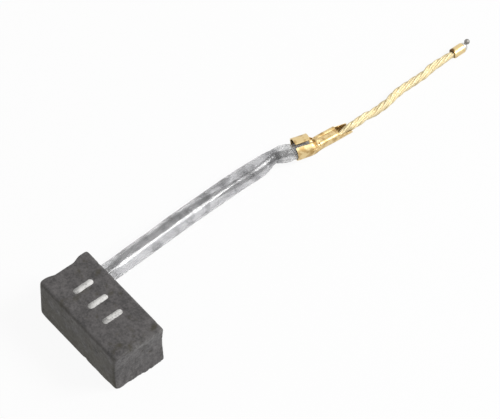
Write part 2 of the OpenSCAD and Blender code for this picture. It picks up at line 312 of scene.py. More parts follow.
def smooth_route(points, step):
    """Evenly spaced points on one smooth line through the given points. Values that follow
    x, y and z in a row are carried along in straight steps."""
    rows = np.array(points, dtype=float)
    place, values = rows[:, :3], rows[:, 3:]
    knots = np.concatenate([[0], np.cumsum(np.linalg.norm(np.diff(place, axis=0), axis=1))])
    slopes = np.diff(place, axis=0) / np.diff(knots)[:, None]
    gaps = np.diff(knots)[:, None]
    inner = (slopes[:-1] * gaps[1:] + slopes[1:] * gaps[:-1]) / (gaps[1:] + gaps[:-1])
    tangents = np.vstack([slopes[:1], inner, slopes[-1:]])
    fine = np.linspace(0, knots[-1], int(knots[-1] / step) * 8 + 2)
    span = np.clip(np.searchsorted(knots, fine, side="right") - 1, 0, len(knots) - 2)
    width = (knots[span + 1] - knots[span])[:, None]
    t = (fine - knots[span])[:, None] / width
    curve = (
        (2 * t**3 - 3 * t**2 + 1) * place[span] + (t**3 - 2 * t**2 + t) * width * tangents[span]
        + (3 * t**2 - 2 * t**3) * place[span + 1] + (t**3 - t**2) * width * tangents[span + 1]
    )
    run = np.concatenate([[0], np.cumsum(np.linalg.norm(np.diff(curve, axis=0), axis=1))])
    even = np.linspace(0, run[-1], int(run[-1] / step) + 2)
    line = np.stack([np.interp(even, run, curve[:, i]) for i in range(3)], axis=1)
    at = np.interp(even, run, fine)
    carried = [np.interp(at, knots, values[:, i]) for i in range(values.shape[1])]
    return line, carried, even


def sides_of(line):
    """The sideways and upward directions across a line, at each of its points."""
    along = np.gradient(line, axis=0)
    side = np.cross(along, UP)
    side /= np.linalg.norm(side, axis=1)[:, None]
    up = np.cross(side, along)
    up /= np.linalg.norm(up, axis=1)[:, None]
    return side, up


def ramp(values, start, end):
    """0 as far as the start, 1 beyond the end, and even between. Either may be the greater."""
    return np.clip((values - start) / (end - start), 0, 1)


def bell(values, middle, width):
    """1 at the middle, and falling smoothly to 0 on both sides of it."""
    return np.exp(-(((values - middle) / width) ** 2))


def even_angles(count):
    """So many angles, evenly spaced over one turn."""
    return np.arange(count) * 2 * math.pi / count


def rings_round(line, angles, radii):
    """Rings of points round a line. radii has one value for each ring and angle, and angles has
    the same or one row for all of the rings."""
    side, up = sides_of(line)
    angles = np.atleast_2d(angles)[:, :, None]
    across = np.cos(angles) * side[:, None] + np.sin(angles) * up[:, None]
    return line[:, None] + radii[:, :, None] * across


def tube_quads(run, around):
    """Each face of the tube through rings of points, with its texture places."""
    for i in range(len(run) - 1):
        near, far = run[i], run[i + 1]
        for k in range(around):
            a, b = i * around + k, i * around + (k + 1) % around
            left, right = k / around, (k + 1) / around
            places = [(near, left), (near, right), (far, right), (far, left)]
            yield (a, b, b + around, a + around), places


def closed_tube(rings, run):
    """Vertices, faces and texture places of the tube through rings of points, with its ends."""
    around = rings.shape[1]
    faces, places = (list(part) for part in zip(*tube_quads(run, around)))
    last = (len(run) - 1) * around
    faces += [tuple(reversed(range(around))), tuple(range(last, last + around))]
    places += [[(run[0], 0)] * around, [(run[-1], 0)] * around]
    return rings.reshape(-1, 3), faces, places


def mesh_piece(name, verts, faces, places=None):
    """A new mesh object, with smooth shading and, where given, texture places."""
    mesh = bpy.data.meshes.new(name)
    mesh.from_pydata([tuple(v) for v in verts], [], faces)
    if places:
        layer = mesh.uv_layers.new(name="run_and_turn")
        layer.data.foreach_set("uv", np.array([c for face in places for c in face]).ravel())
    mesh.validate()
    worker = bmesh.new()
    worker.from_mesh(mesh)
    bmesh.ops.recalc_face_normals(worker, faces=worker.faces)
    worker.to_mesh(mesh)
    worker.free()
    mesh.polygons.foreach_set("use_smooth", [True] * len(mesh.polygons))
    piece = bpy.data.objects.new(name, mesh)
    bpy.context.collection.objects.link(piece)
    return piece


def fine_copy(node, name, step):
    """A copy of a CAD node with a fine, even mesh, for shapes that are worked by moving points."""
    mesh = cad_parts[node].data.copy()
    mesh.name = name
    worker = bmesh.new()
    worker.from_mesh(mesh)
    bmesh.ops.remove_doubles(worker, verts=worker.verts, dist=step / 20)
    worker.to_mesh(mesh)
    worker.free()
    mesh.materials.clear()
    piece = bpy.data.objects.new(name, mesh)
    bpy.context.collection.objects.link(piece)
    remesh = piece.modifiers.new("even", "REMESH")
    remesh.mode = "VOXEL"
    remesh.voxel_size = step
    remesh.use_smooth_shade = True
    graph = bpy.context.evaluated_depsgraph_get()
    piece.data = bpy.data.meshes.new_from_object(piece.evaluated_get(graph))
    piece.modifiers.clear()
    piece.data.name = name
    return piece


def relax(piece, rounds, weight=1.0):
    """Evens out a mesh, as tumbling or bending rounds an edge. weight says how much, for each
    vertex or for all of them."""
    mesh = piece.data
    ends = np.empty(len(mesh.edges) * 2, dtype=int)
    mesh.edges.foreach_get("vertices", ends)
    a, b = ends.reshape(-1, 2).T
    points = points_of(mesh)
    count = len(points)
    degree = np.bincount(a, minlength=count) + np.bincount(b, minlength=count)
    share = 0.5 * np.broadcast_to(weight, (count,))
    for _ in range(rounds):
        for axis in range(3):
            column = points[:, axis]
            total = np.bincount(a, column[b], count) + np.bincount(b, column[a], count)
            points[:, axis] = column + share * (total / np.maximum(degree, 1) - column)
    set_points(mesh, points)


def points_of(mesh):
    flat = np.empty(len(mesh.vertices) * 3)
    mesh.vertices.foreach_get("co", flat)
    return flat.reshape(-1, 3)


def normals_of(mesh):
    flat = np.empty(len(mesh.vertices) * 3)
    mesh.vertex_normals.foreach_get("vector", flat)
    return flat.reshape(-1, 3)


def set_points(mesh, points):
    mesh.vertices.foreach_set("co", points.ravel())
    mesh.update()


def set_mask(mesh, name, values):
    """Stores one number for each vertex, which materials read by its name."""
    layer = mesh.attributes.new(name, "FLOAT", "POINT")
    layer.data.foreach_set("value", np.clip(values, 0, 1))


def lumps(points, size, seed, octaves):
    """Smooth noise of about -1 to 1 at each point, with features of about the given size."""
    offset = Vector((seed * 7.3, seed * 3.1, seed * 5.7))
    return np.array([
        noise.fractal(Vector(p) / size + offset, 0.9, 2.0, octaves) for p in points
    ])


def hollows(points, size, seed, octaves):
    """The same noise as a depth, of about 0 to 1."""
    return 0.5 - 0.5 * lumps(points, size, seed, octaves)


def covered(mesh, reach):
    """How closely each vertex faces another part of the same surface, from 0 to 1."""
    surface = BVHTree.FromPolygons(
        [v.co for v in mesh.vertices], [p.vertices[:] for p in mesh.polygons],
    )
    found = np.zeros(len(mesh.vertices))
    lift_off = reach / 20
    for i, (vertex, normal) in enumerate(zip(mesh.vertices, mesh.vertex_normals)):
        start = vertex.co + normal.vector * lift_off
        distance = surface.ray_cast(start, normal.vector, reach)[3]
        if distance is not None:
            found[i] = 1 - distance / reach
    return found


def seat_piece(piece, slot, *nodes):
    """Says what a finished piece rides on and stands for. The slot, the finish that it would take,
    is not used.
    """
    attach(piece, BODY)
    if nodes:
        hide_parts(*nodes)


# ---------------------------------------------------------------- shared finishes


class Tree:
    """Adds nodes to a material or a node group, from left to right."""

    def __init__(self, tree):
        self.tree = tree
        self.column = 0

    def add(self, kind, inputs=None, **settings):
        node = self.tree.nodes.new(kind)
        self.column += 1
        node.location = (self.column * 180, -(self.column % 3) * 160)
        for key, value in settings.items():
            setattr(node, key, value)
        for key, value in (inputs or {}).items():
            self.feed(value, node.inputs[key])
        return node

    def feed(self, value, socket):
        """Links an output to a socket, or sets the socket to a plain value."""
        if isinstance(value, bpy.types.NodeSocket):
            self.tree.links.new(value, socket)
        else:
            socket.default_value = value

    def math(self, operation, a, b=0.0, clamp=False):
        node = self.add("ShaderNodeMath", {0: a, 1: b}, operation=operation, use_clamp=clamp)
        return node.outputs[0]

    def blend(self, factor, a, b):
        """A colour between a and b."""
        node = self.add("ShaderNodeMix", data_type="RGBA")
        self.feed(factor, node.inputs["Factor"])
        self.feed(a, node.inputs[6])
        self.feed(b, node.inputs[7])
        return node.outputs[2]

    def spread(self, value, low, high, to_low=0.0, to_high=1.0):
        """Maps a value from one range to another, and clamps it there."""
        node = self.add("ShaderNodeMapRange", {
            "Value": value, "From Min": low, "From Max": high, "To Min": to_low, "To Max": to_high,
        })
        return node.outputs[0]

    def noise(self, place, scale, detail=4.0, roughness=0.55):
        node = self.add("ShaderNodeTexNoise", {
            "Vector": place, "Scale": scale, "Detail": detail, "Roughness": roughness,
        })
        return node.outputs["Fac"]

    def mask(self, name):
        return self.add("ShaderNodeAttribute", attribute_name=name).outputs["Fac"]

    def group(self, name, **inputs):
        node = self.add("ShaderNodeGroup", node_tree=bpy.data.node_groups[name])
        for key, value in inputs.items():
            self.feed(value, node.inputs[key.replace("_", " ").title()])
        return node.outputs


def rgb(colour):
    return (*colour, 1.0)


def new_group(name, inputs, outputs):
    """An empty shader group. inputs are (name, kind, default) and outputs (name, kind)."""
    made = bpy.data.node_groups.new(name, "ShaderNodeTree")
    for label, kind, default in inputs:
        socket = made.interface.new_socket(label, in_out="INPUT", socket_type=kind)
        socket.default_value = default
    for label, kind in outputs:
        made.interface.new_socket(label, in_out="OUTPUT", socket_type=kind)
    tree = Tree(made)
    start = tree.add("NodeGroupInput").outputs
    place = tree.add("ShaderNodeTexCoord").outputs["Object"]
    return tree, start, place


def close_group(tree, **outputs):
    end = tree.add("NodeGroupOutput")
    for key, value in outputs.items():
        tree.feed(value, end.inputs[key.replace("_", " ").title()])


def make_grain_group():
    """Fine pressed or blasted grain: a tone for colours and a height for bumps."""
    tree, given, place = new_group(
        "Pressed Grain",
        [("Scale", "NodeSocketFloat", 4000.0), ("Patchiness", "NodeSocketFloat", 0.5)],
        [("Tone", "NodeSocketFloat"), ("Height", "NodeSocketFloat")],
    )
    fine = tree.noise(place, given["Scale"], 3, 0.6)
    coarse_scale = tree.math("MULTIPLY", given["Scale"], 0.22)
    coarse = tree.noise(place, coarse_scale, 3, 0.6)
    patches = tree.spread(coarse, 0.3, 0.7)
    shift = tree.math("MULTIPLY", tree.math("SUBTRACT", patches, 0.5), given["Patchiness"])
    tone = tree.math("ADD", tree.spread(fine, 0.3, 0.7), shift, clamp=True)
    close_group(tree, tone=tone, height=fine)


def make_rub_group():
    """Where edges and high spots wear: a mask that the grain breaks up. Its Edge input also brings
    painted light, the highlight band on the block and the open places on the crimp.
    """
    tree, given, place = new_group(
        "Rubbed Edges",
        [
            ("Edge", "NodeSocketFloat", 0.0), ("Scale", "NodeSocketFloat", 1500.0),
            ("Amount", "NodeSocketFloat", 1.0),
        ],
        [("Mask", "NodeSocketFloat")],
    )
    broken = tree.spread(tree.noise(place, given["Scale"], 4, 0.6), 0.35, 0.65, 0.35, 1.3)
    rub_and_highlight = tree.math("MULTIPLY", given["Edge"], broken)
    mask = tree.math("MULTIPLY", rub_and_highlight, given["Amount"], clamp=True)
    close_group(tree, mask=mask)


def make_film_group():
    """Dust, cloudiness or tarnish that lies in patches, and painted shade that the Fold input lays
    into folds, pits, the block's front face and the sleeve's kink.
    """
    tree, given, place = new_group(
        "Patchy Film",
        [
            ("Clean", "NodeSocketColor", (1, 1, 1, 1)), ("Film", "NodeSocketColor", (0, 0, 0, 1)),
            ("Scale", "NodeSocketFloat", 500.0), ("Cover", "NodeSocketFloat", 0.5),
            ("Fold", "NodeSocketFloat", 0.0),
        ],
        [("Color", "NodeSocketColor"), ("Mask", "NodeSocketFloat")],
    )
    patches = tree.noise(place, given["Scale"], 5, 0.6)
    limit = tree.math("SUBTRACT", 0.85, tree.math("MULTIPLY", given["Cover"], 0.7))
    softness = 0.07
    low = tree.math("SUBTRACT", limit, softness)
    high = tree.math("ADD", limit, softness)
    mask = tree.math("ADD", tree.spread(patches, low, high), given["Fold"], clamp=True)
    close_group(tree, color=tree.blend(mask, given["Clean"], given["Film"]), mask=mask)


def make_strand_group():
    """Fine wires that run slantwise round a stranded rope."""
    tree, given, _ = new_group(
        "Fine Strands",
        [
            ("Count", "NodeSocketFloat", 60.0), ("Slant", "NodeSocketFloat", 2.0),
            ("Raggedness", "NodeSocketFloat", 0.3),
        ],
        [("Tone", "NodeSocketFloat"), ("Height", "NodeSocketFloat")],
    )
    spot = tree.add("ShaderNodeUVMap", uv_map="run_and_turn").outputs["UV"]
    parts = tree.add("ShaderNodeSeparateXYZ", {"Vector": spot}).outputs
    run = tree.math("MULTIPLY", parts["X"], 1 / MM)
    slant = tree.math("DIVIDE", given["Slant"], 60.0)
    slid = tree.math("ADD", parts["Y"], tree.math("MULTIPLY", run, slant))
    wander = tree.noise(spot, 900.0, 2, 0.5)
    phase = tree.math("MULTIPLY", slid, given["Count"])
    phase = tree.math("ADD", phase, tree.math("MULTIPLY", wander, given["Raggedness"]))
    wave = tree.math("ABSOLUTE", tree.math("SINE", tree.math("MULTIPLY", phase, math.pi)))
    close_group(tree, tone=wave, height=wave)


def new_material(name):
    """An empty material, its tree and its Principled shader."""
    material = bpy.data.materials.new(name)
    material.use_nodes = True
    tree = Tree(material.node_tree)
    shader = material.node_tree.nodes["Principled BSDF"]
    shader.location = (2600, 0)
    return material, tree, shader


def bump(tree, shader, height, distance, strength=1.0):
    """Feeds a height to the shader as a bump of the given distance."""
    node = tree.add("ShaderNodeBump", {
        "Height": height, "Distance": distance, "Strength": strength,
    })
    tree.feed(node.outputs["Normal"], shader.inputs["Normal"])


def roughen(tree, shader, rough, film, more):
    """Feeds a roughness to the shader, and adds to it where a film lies."""
    added = tree.math("MULTIPLY", film, more)
    tree.feed(tree.math("ADD", rough, added), shader.inputs["Roughness"])


def carbon_material(block):
    """Pressed carbon and graphite: dull and grainy, with burnished and worn places, painted shade
    in its pits and on its front face, and a painted highlight along the contact end's upper edge.
    """
    material, tree, shader = new_material("pressed_carbon")
    grain = tree.group("Pressed Grain", scale=3400.0, patchiness=0.55)
    blotches = tree.group("Pressed Grain", scale=1500.0, patchiness=0.8)
    fine_share = tree.math("MULTIPLY", grain["Tone"], 0.55)
    blotch_share = tree.math("MULTIPLY", blotches["Tone"], 0.45)
    tone = tree.math("ADD", fine_share, blotch_share)
    base = tree.blend(tone, rgb(block.dark), rgb(block.light))
    # Painted shade: the pits, and the front face more towards the bottom, are darkened in patches
    # towards the dark brownish film colour.
    shade_in_pits = tree.math("MULTIPLY", tree.mask("pit_shade"), 0.75)
    on_front = tree.math("MULTIPLY", tree.mask("front_shade"), 1.1)
    dust_and_shade_film = tree.group(
        "Patchy Film", clean=base, film=rgb(block.dust_and_shade), scale=520.0, cover=0.3,
        fold=tree.math("MAXIMUM", shade_in_pits, on_front),
    )
    # The rub lays in the worn edges and the painted highlight band on the contact end.
    rub = tree.group("Rubbed Edges", edge=tree.mask("edge"), scale=1300.0, amount=0.6)
    colour = tree.blend(rub["Mask"], dust_and_shade_film["Color"], rgb(block.rub_and_highlight))
    tree.feed(colour, shader.inputs["Base Color"])
    rough = tree.spread(tone, 0, 1, 0.70, 0.50)
    smooth = tree.math("MULTIPLY", tree.mask("running"), 0.12)
    tree.feed(tree.math("SUBTRACT", rough, smooth), shader.inputs["Roughness"])
    bump(tree, shader, grain["Height"], 0.04 * MM, 0.8)
    return material


def paint_material(marks, block):
    """Flat white paint, thin enough for the grain to break it."""
    material, tree, shader = new_material("white_paint")
    grain = tree.group("Pressed Grain", scale=3000.0, patchiness=0.9)
    film = tree.group(
        "Patchy Film", clean=rgb(marks.paint), film=rgb(block.light), scale=1800.0, cover=0.12,
        fold=0.0,
    )
    bare = tree.spread(grain["Tone"], 0.0, 0.5, 0.5, 0.0)
    tree.feed(tree.blend(bare, film["Color"], rgb(block.light)), shader.inputs["Base Color"])
    tree.feed(tree.spread(grain["Tone"], 0, 1, 0.8, 0.6), shader.inputs["Roughness"])
    bump(tree, shader, grain["Height"], 0.02 * MM, 0.6)
    return material


POWDER_DARK = (0.20, 0.07, 0.03)
POWDER_LIGHT = (0.55, 0.24, 0.12)


def powder_material():
    """Copper powder, packed hard round the wire."""
    material, tree, shader = new_material("packed_copper_powder")
    grain = tree.group("Pressed Grain", scale=9000.0, patchiness=0.6)
    colour = tree.blend(grain["Tone"], rgb(POWDER_DARK), rgb(POWDER_LIGHT))
    tree.feed(colour, shader.inputs["Base Color"])
    tree.feed(tree.spread(grain["Tone"], 0, 1, 0.75, 0.45), shader.inputs["Roughness"])
    shader.inputs["Metallic"].default_value = 0.8
    bump(tree, shader, grain["Height"], 0.03 * MM)
    return material


def strand_material(name, dark, light, count, metallic, roughness):
    """Stranded wire: bright on its strands, with painted shade at the sides of each fine strand
    and in the grooves between bundles.
    """
    material, tree, shader = new_material(name)
    strands = tree.group("Fine Strands", count=count, slant=4.0, raggedness=0.8)
    grain = tree.group("Pressed Grain", scale=2600.0, patchiness=0.6)
    groove = tree.mask("groove")
    # Painted shade: the tone darkens towards the sides of each fine strand, and more in the
    # grooves between bundles.
    strand_shading = tree.math("MULTIPLY", strands["Tone"], tree.spread(grain["Tone"], 0, 1, 0.65, 1.0))
    shade = tree.math("MULTIPLY", groove, 0.25)
    tone = tree.math("SUBTRACT", tree.spread(strand_shading, 0, 1, 0.25, 1.0), shade, clamp=True)
    tree.feed(tree.blend(tone, rgb(dark), rgb(light)), shader.inputs["Base Color"])
    rough = tree.spread(grain["Tone"], 0, 1, roughness + 0.12, roughness - 0.08)
    tree.feed(rough, shader.inputs["Roughness"])
    shader.inputs["Metallic"].default_value = metallic
    bump(tree, shader, strands["Height"], 0.03 * MM, 0.35)
    return material


def sleeve_material(lead):
    """Aged grey plastic: it lets the wire show, clouds in patches, and has painted shade at its
    kink.
    """
    material, tree, shader = new_material("clear_sleeve")
    grain = tree.group("Pressed Grain", scale=900.0, patchiness=0.8)
    cloudy = tree.group(
        "Patchy Film", clean=rgb(lead.sleeve_clear), film=rgb(lead.sleeve_cloud_and_shade), scale=420.0,
        cover=0.45, fold=tree.mask("kink_shade"),
    )
    pale = tree.blend(tree.mask("stretched"), cloudy["Color"], rgb(lead.sleeve_pale))
    tree.feed(pale, shader.inputs["Base Color"])
    roughen(tree, shader, tree.spread(grain["Tone"], 0, 1, 0.12, 0.20), cloudy["Mask"], 0.10)
    shader.inputs["IOR"].default_value = 1.45
    shader.inputs["Transmission Weight"].default_value = 0.82
    bump(tree, shader, grain["Height"], 0.02 * MM, 0.4)
    body = tree.add("ShaderNodeVolumeAbsorption", {
        "Color": rgb(lead.sleeve_body), "Density": lead.sleeve_density,
    })
    tree.feed(body.outputs[0], material.node_tree.nodes["Material Output"].inputs["Volume"])
    return material


def brass_material(name, bright, tarnish, folds, cover, roughness):
    """Stamped brass: bright where it wears, tarnished in patches, and with painted shade in its
    folds.
    """
    material, tree, shader = new_material(name)
    grain = tree.group("Pressed Grain", scale=5200.0, patchiness=0.5)
    fold = tree.mask("fold")
    # Painted shade: where the fold mask is high, the brass takes tarnish and then the dark fold
    # colour.
    film = tree.group(
        "Patchy Film", clean=rgb(bright), film=rgb(tarnish), scale=1100.0, cover=cover,
        fold=tree.math("MULTIPLY", fold, 0.6),
    )
    rub = tree.group("Rubbed Edges", edge=tree.mask("edge"), scale=2200.0, amount=0.8)
    rub_and_highlight = tree.blend(rub["Mask"], film["Color"], rgb(bright))
    colour = tree.blend(tree.spread(fold, 0.35, 1.0), rub_and_highlight, rgb(folds))
    tree.feed(colour, shader.inputs["Base Color"])
    rough = tree.spread(grain["Tone"], 0, 1, roughness - 0.06, roughness + 0.1)
    roughen(tree, shader, rough, film["Mask"], 0.15)
    shader.inputs["Metallic"].default_value = 1.0
    bump(tree, shader, grain["Height"], 0.015 * MM, 0.6)
    return material


SOLDER_CLEAN = (0.62, 0.60, 0.56)
SOLDER_SCORCHED = (0.16, 0.15, 0.14)


def solder_material():
    """Dull soft solder, darker where it was overheated."""
    material, tree, shader = new_material("soft_solder")
    film = tree.group(
        "Patchy Film", clean=rgb(SOLDER_CLEAN), film=rgb(SOLDER_SCORCHED), scale=1400.0,
        cover=0.2, fold=tree.mask("scorched"),
    )
    tree.feed(film["Color"], shader.inputs["Base Color"])
    tree.feed(tree.spread(film["Mask"], 0, 1, 0.3, 0.55), shader.inputs["Roughness"])
    shader.inputs["Metallic"].default_value = 0.9
    grain = tree.group("Pressed Grain", scale=5000.0, patchiness=0.5)
    bump(tree, shader, grain["Height"], 0.03 * MM, 0.6)
    return material


# ---------------------------------------------------------------- the lead's lines


# Clearance between pieces, and above the floor
FIT = 0.02 * MM
LIE_GAP = 0.02 * MM
# The CAD's wires and sleeve have eight flats: a flat's distance from the axis, against a corner's
CORNER = math.cos(math.pi / 8)
# The crimp's strip, and the lengths of its grip, neck, barrel and open mouth
STRIP = 0.25 * MM
GRIP_LENGTH = 2.2 * MM
NECK_LENGTH = 1.0 * MM
BARREL_LENGTH = 3.1 * MM
OPEN_LENGTH = 2.1 * MM
GRIP_GAP = 0.1 * MM
# The sleeve runs straight from so far behind the grip, and ends so far short of its front
GRIP_ENTRY = 0.3 * MM
SLEEVE_STOP = 0.2 * MM
# The wires' radius in the barrel and in the ferrule, and how tight the grip draws the sleeve
PACKING = 0.66
FERRULE_PACKING = 0.86
GRIP_SQUEEZE = 0.65
# The grip's rear end, in millimetres from the mouth, and the ways the crimp's parts point
GRIP_AT = (-1.15, 33.1)
GRIP_YAW = math.radians(16)
BARREL_YAW = math.radians(5)
# The rings' spacing along the wires and the sleeve, and the points round the sleeve
WIRE_STEP = 0.11 * MM
SLEEVE_STEP = 0.14 * MM
SLEEVE_SIDES = 48
# How much of the sleeve's wall is drawn, so that the wire shows through
DRAWN_WALL = 0.6
# The kink: how far behind the sleeve's front, how long, on which side and how deep. Then the
# depths of the creases in it, and of the slow ripple all along the sleeve.
KINK_BACK = 5.6 * MM
KINK_REACH = 1.1 * MM
KINK_SIDE = math.radians(-10)
KINK_DEPTH = 0.22 * MM
CREASE_DEPTH = 0.018 * MM
RIPPLE_DEPTH = 0.03 * MM


class Lead:
    """The lead's sizes and lines, worked out from the settings."""

    def __init__(self, lead):
        self.wire_r = lead.wire_d / 2
        self.tail_r = lead.tail_d / 2
        self.sleeve_r = lead.sleeve_d / 2
        self.wall = lead.sleeve_wall
        self.tight_r = (self.wire_r + FIT) / CORNER + self.wall
        self.lie_z = self.sleeve_r + LIE_GAP
        self.tail_z = self.tail_r + LIE_GAP
        self.packed_r = self.wire_r * PACKING
        self.grip_ro = self.squeezed(GRIP_SQUEEZE) + FIT + STRIP
        self.barrel_ri = 2 * self.packed_r + FIT
        self.barrel_ro = self.barrel_ri + STRIP
        self.wire_side = self.barrel_ri - self.packed_r - FIT / 2
        self.grip_origin = self.near(*GRIP_AT, 0)
        self.neck_origin = self.grip_origin + (GRIP_LENGTH + GRIP_GAP) * self.heading(GRIP_YAW)
        self.wire_depth = lead.wire_depth

    @staticmethod
    def heading(yaw):
        return np.array([math.sin(yaw), math.cos(yaw), 0.0])

    @staticmethod
    def near(sideways, out, z):
        """A point so many millimetres from the mouth, at a height in metres."""
        return np.array([MOUTH[0] + sideways * MM, MOUTH[1] + out * MM, z])

    def squeezed(self, share):
        return self.sleeve_r + share * (self.tight_r - self.sleeve_r)

    def play(self, share):
        """How far the wire can lean in the sleeve."""
        return (self.squeezed(share) - self.wall) * CORNER - self.wire_r - FIT

    @staticmethod
    def in_frame(origin, yaw, along, side, up):
        ahead = Lead.heading(yaw)
        right = np.array([ahead[1], -ahead[0], 0.0])
        return origin + along * ahead + side * right + (up + LIE_GAP) * UP

    def in_grip(self, along, side, up):
        return self.in_frame(self.grip_origin, GRIP_YAW, along, side, up)

    def in_barrel(self, along, side, up):
        return self.in_frame(self.neck_origin, BARREL_YAW, along, side, up)

    def sleeve_point(self, row):
        return self.near(row[0], row[1], MOUTH[2] + row[2] * (self.lie_z - MOUTH[2]))

    def sleeve_rows(self):
        """Rows of x, y, z and outer radius."""
        rows = [(*self.sleeve_point(row), self.squeezed(row[5])) for row in SLEEVE_ROUTE]
        radius = self.squeezed(GRIP_SQUEEZE)
        for along in (-GRIP_ENTRY, GRIP_LENGTH - SLEEVE_STOP):
            rows.append((*self.in_grip(along, 0, self.grip_ro), radius))
        return rows

    def shunt_rows(self):
        """Rows of x, y, z and radius, from inside the block to the end of the barrel."""
        rows = [
            (*(MOUTH - [0, back, 0]), self.wire_r)
            for back in (self.wire_depth, self.wire_depth / 2)
        ]
        for row in SLEEVE_ROUTE:
            play = self.play(row[5])
            lean = [row[3] * play, 0, row[4] * play]
            rows.append((*(self.sleeve_point(row) + lean), self.wire_r))
        for along in (-GRIP_ENTRY, GRIP_LENGTH - SLEEVE_STOP):
            rows.append((*self.in_grip(along, 0, self.grip_ro), self.wire_r))
        half_r = (self.wire_r + self.packed_r) / 2
        middle = (self.grip_ro + self.barrel_ro) / 2
        rows.append((*self.in_barrel(NECK_LENGTH / 2, -self.wire_side / 3, middle), half_r))
        for along in (NECK_LENGTH, NECK_LENGTH + BARREL_LENGTH):
            rows.append((*self.in_barrel(along, -self.wire_side, self.barrel_ro), self.packed_r))
        return rows

    def tail_rows(self, ferrule_rear, ferrule_length):
        """Rows of x, y, z and radius, from inside the barrel to the ferrule's front."""
        barrel_end = NECK_LENGTH + BARREL_LENGTH
        rows = [
            (*self.in_barrel(along, self.wire_side, self.barrel_ro), self.packed_r)
            for along in (NECK_LENGTH + FIT, barrel_end)
        ]
        half_r = (self.tail_r + self.packed_r) / 2
        half_way = barrel_end + OPEN_LENGTH / 2
        height = STRIP + 3 * FIT + half_r
        rows.append((*self.in_barrel(half_way, self.wire_side / 3, height), half_r))
        front_ro = self.tail_r + FIT + STRIP
        rows.append((*self.in_barrel(barrel_end + OPEN_LENGTH, 0, front_ro), self.tail_r))
        for sideways, out, lift in TAIL_ROUTE:
            rows.append((*self.near(sideways, out, self.tail_z + lift * MM), self.tail_r))
        for along in (0, ferrule_length):
            rows.append((*(ferrule_rear + [0, along, 0]), self.tail_r * FERRULE_PACKING))
        return rows


def rope_section(bundles, per_bundle):
    """How far the surface of a rope lies below the circle round its bundles, at even angles and
    in shares of the rope's radius."""
    number = np.arange(bundles * per_bundle)
    from_middle = (number % per_bundle / per_bundle - 0.5) * 2 * math.pi / bundles
    bundle_r = math.sin(math.pi / bundles) / (1 + math.sin(math.pi / bundles))
    reach = 1 - bundle_r
    half_chord = np.maximum(bundle_r**2 - (reach * np.sin(from_middle)) ** 2, 0)
    return 1 - (reach * np.cos(from_middle) + np.sqrt(half_chord))


def stranded_wire(name, rows, bundles, lay, seed, looseness):
    """A rope of twisted bundles through rows of x, y, z and radius. Looseness is how far its
    bundles sink in and out along it, in shares of its radius."""
    line, (radius,), run = smooth_route(rows, WIRE_STEP)
    per_bundle = 8
    packed = 0.6
    hollow = rope_section(bundles, per_bundle)
    count = len(hollow)
    twist = 2 * math.pi * (run / lay)[:, None]
    bundle_of = (np.arange(count) // per_bundle)[None, :]
    swell = np.sin(twist * 1.7 + bundle_of * 2.4 + seed)
    radii = radius[:, None] * (1 - packed * hollow[None, :] - looseness * (1 + swell) / 2)
    rings = rings_round(line, even_angles(count)[None, :] + twist, radii)
    piece = mesh_piece(name, *closed_tube(rings, run))
    # The grooves' mask carries painted shade, which the strand material lays between bundles.
    set_mask(piece.data, "groove", np.tile(hollow / hollow.max(), len(run)))
    return piece, line


# ---------------------------------------------------------------- operators


# The lamps' places from the part's middle and their sizes, in metres
PART_MIDDLE = Vector((0, 30 * MM, 0))
KEY_PLACE, KEY_SIZE = Vector((0.20, 0.25, 0.31)), 0.18
FILL_PLACE, FILL_SIZE = Vector((-0.25, -0.20, 0.28)), 0.20
# Half of the floor's side, in metres, and how much of it is its own white, where it is seen
FLOOR_HALF = 1.5
FLOOR_WHITE = 0.93


